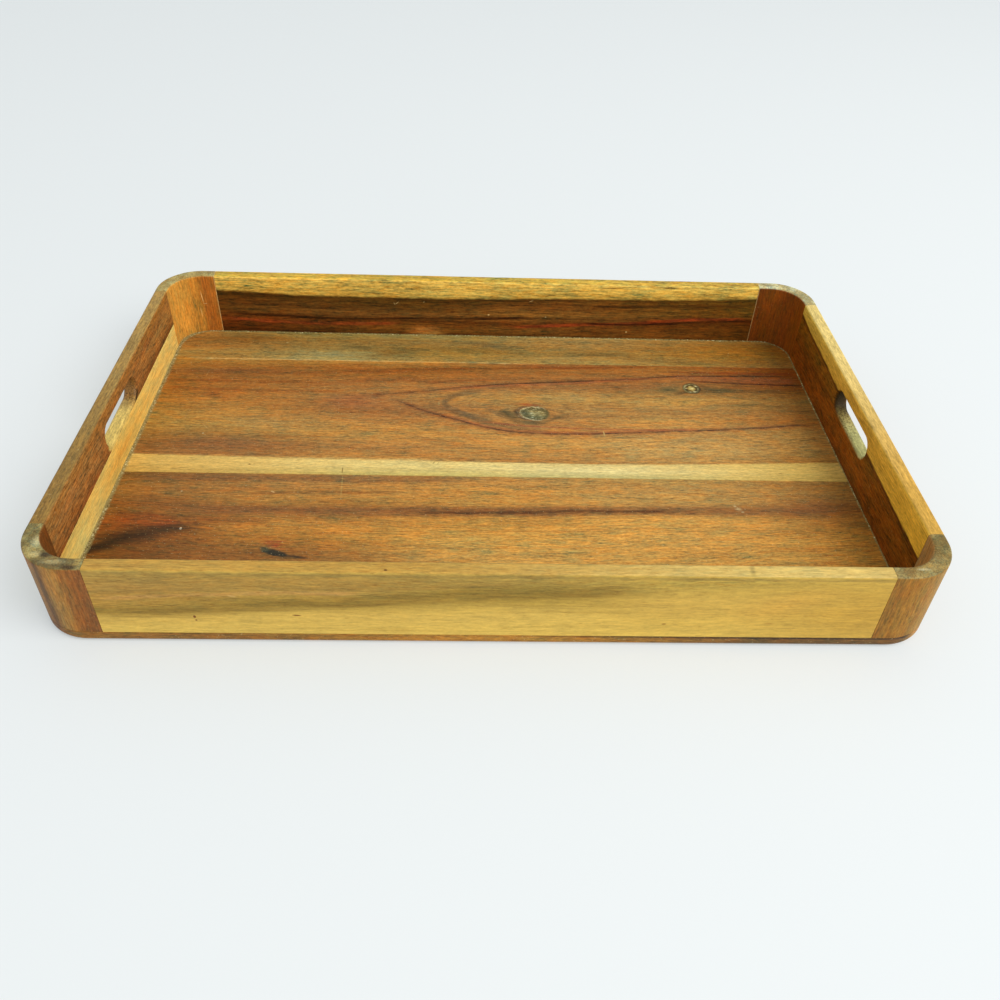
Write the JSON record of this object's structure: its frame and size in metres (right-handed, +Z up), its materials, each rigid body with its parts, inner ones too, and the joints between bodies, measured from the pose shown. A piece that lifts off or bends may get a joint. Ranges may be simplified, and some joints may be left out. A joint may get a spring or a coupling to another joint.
{
  "type": "serving tray",
  "caption": "Rectangular wooden serving tray with a flat glued-up floor, upright walls, rounded corner blocks and a hand slot through each end wall.",
  "frame": {"origin": "middle of the underside, on the surface the tray stands on", "axes": "+X along the long side towards the right end wall, +Y across the tray towards the back wall, +Z up"},
  "size_m": [0.45, 0.292, 0.05],
  "materials": {
    "floor_back_wood": "oiled, olive brown",
    "floor_middle_wood": "oiled, red brown with knots and a pale sapwood edge",
    "floor_front_wood": "oiled, orange brown",
    "front_wall_wood": "oiled, yellow sapwood with olive streaks",
    "back_wall_wood": "oiled, dark heartwood under a pale band",
    "left_wall_upper_wood": "oiled, brown",
    "left_wall_lower_wood": "oiled, pale yellow",
    "right_wall_wood": "oiled, dark heartwood under a pale band",
    "front_left_block_wood": "oiled, striped brown",
    "front_right_block_wood": "oiled, orange brown",
    "back_left_block_wood": "oiled, orange brown",
    "back_right_block_wood": "oiled, dark brown",
    "dowel_wood": "raw beech"
  },
  "bodies": {
    "root": {"floor_stave_back": "floor_back_wood", "floor_stave_middle": "floor_middle_wood", "floor_stave_front": "floor_front_wood", "front_wall": "front_wall_wood", "back_wall": "back_wall_wood", "left_wall_upper": "left_wall_upper_wood", "left_wall_lower": "left_wall_lower_wood", "right_wall": "right_wall_wood", "corner_block_front_left": "front_left_block_wood", "corner_block_front_right": "front_right_block_wood", "corner_block_back_left": "back_left_block_wood", "corner_block_back_right": "back_right_block_wood", "dowel_front_wall_left_lower": "dowel_wood", "dowel_front_wall_left_upper": "dowel_wood", "dowel_front_wall_right_lower": "dowel_wood", "dowel_front_wall_right_upper": "dowel_wood", "dowel_back_wall_left_lower": "dowel_wood", "dowel_back_wall_left_upper": "dowel_wood", "dowel_back_wall_right_lower": "dowel_wood", "dowel_back_wall_right_upper": "dowel_wood", "dowel_left_wall_front_lower": "dowel_wood", "dowel_left_wall_front_upper": "dowel_wood", "dowel_left_wall_back_lower": "dowel_wood", "dowel_left_wall_back_upper": "dowel_wood", "dowel_right_wall_front_lower": "dowel_wood", "dowel_right_wall_front_upper": "dowel_wood", "dowel_right_wall_back_lower": "dowel_wood", "dowel_right_wall_back_upper": "dowel_wood"}
  },
  "joints": []
}
